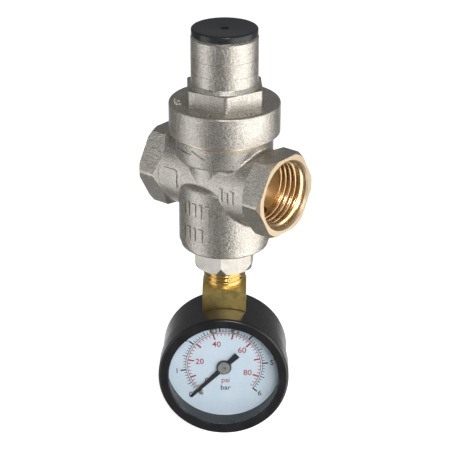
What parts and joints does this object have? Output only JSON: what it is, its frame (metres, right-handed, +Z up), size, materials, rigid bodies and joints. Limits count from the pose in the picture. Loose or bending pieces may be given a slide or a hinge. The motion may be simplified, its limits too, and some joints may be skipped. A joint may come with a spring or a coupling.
{
  "type": "pressure reducing valve",
  "caption": "Inline pressure reducing valve: cross-shaped forged body with two threaded ends, spring housing under a black cap, and a round dial gauge screwed into the bottom plug.",
  "frame": {"origin": "where the axis through the two ports crosses the upright valve axis", "axes": "+X in the direction of flow, out of the outlet; +Z up the valve axis towards the cap; the gauge faces about 37 degrees from -Y towards +X"},
  "size_m": [0.0484, 0.0416, 0.1307],
  "materials": {
    "nickel_brass": "satin nickel plate over forged brass, bare brass where it is threaded",
    "yellow_brass": "machined, slightly dull",
    "movement_brass": "stamped",
    "turned_brass": "turned",
    "steel": "bright",
    "black_plastic": "glossy",
    "rubber": "matt",
    "white_ptfe": "matt",
    "window": "clear",
    "dial_white": "smooth",
    "pointer_black": "matt"
  },
  "bodies": {
    "valve": {"body": "nickel_brass", "bonnet": "nickel_brass", "main_spring": "steel", "bottom_plug": "nickel_brass", "plug_o_ring": "rubber", "gauge_seal": "white_ptfe", "gauge_socket": "yellow_brass", "gauge_case": "black_plastic", "gauge_bezel": "black_plastic", "window": "window", "dial_plate": "dial_white", "dial_screws": "steel", "dial_posts": "steel", "stop_pin": "steel", "front_plate": "movement_brass", "back_plate": "movement_brass", "movement_pillars": "movement_brass", "movement_screws": "steel", "bourdon_tube": "movement_brass", "hairspring": "steel"},
    "piston_set": {"piston": "turned_brass", "piston_o_ring": "rubber", "piston_nut": "steel", "stem": "turned_brass", "balance_piston": "turned_brass", "balance_o_ring": "rubber", "seat_disc": "rubber", "disc_holder": "turned_brass", "holder_nut": "steel"},
    "thrust_washer": {"thrust_washer": "steel"},
    "adjusting_nut": {"adjusting_nut": "turned_brass"},
    "cap": {"cap": "black_plastic"},
    "pointer": {"pointer": "pointer_black", "pointer_bush": "steel", "pinion_arbor": "movement_brass"},
    "sector_gear": {"sector_gear": "movement_brass"},
    "tube_tip": {"tube_tip": "movement_brass", "link": "movement_brass"}
  },
  "joints": [
    {"name": "piston_lift", "type": "slide", "parent": "valve", "child": "piston_set", "axis": [0, 0, 1], "range_m": [0, 0.00245], "stiffness_N_per_m": 3000, "springref_m": -0.001, "deforming": ["main_spring"]},
    {"name": "adjuster_travel", "type": "slide", "parent": "valve", "child": "thrust_washer", "axis": [0, 0, 1], "range_m": [-0.004, 0.001]},
    {"name": "adjuster_turn", "type": "hinge", "parent": "thrust_washer", "child": "adjusting_nut", "pos_m": [0, 0, 0.04], "axis": [0, 0, 1], "range_deg": [-1441, 361]},
    {"name": "cap_pull", "type": "slide", "parent": "valve", "child": "cap", "axis": [0, 0, 1], "range_m": [0, 0.015]},
    {"name": "pointer_turn", "type": "hinge", "parent": "valve", "child": "pointer", "pos_m": [0.00463, -0.00603, -0.0626], "axis": [-0.6088, 0.7934, 0], "range_deg": [0, 270.5], "deforming": ["hairspring"]},
    {"name": "sector_turn", "type": "hinge", "parent": "valve", "child": "sector_gear", "pos_m": [-0.00263, -0.00643, -0.07299], "axis": [-0.6088, 0.7934, 0], "range_deg": [-38.7, 0]},
    {"name": "tube_tip_travel", "type": "slide", "parent": "valve", "child": "tube_tip", "axis": [0.1378, 0.1057, -0.9848], "range_m": [0, 0.00297], "stiffness_N_per_m": 200, "deforming": ["bourdon_tube"]}
  ],
  "couplings": [
    {"joint": "adjuster_turn", "follows": "adjuster_travel", "rad_per_m": 6283.2},
    {"joint": "pointer_turn", "follows": "tube_tip_travel", "rad_per_m": 1585.3},
    {"joint": "sector_turn", "follows": "tube_tip_travel", "rad_per_m": -226.47}
  ]
}
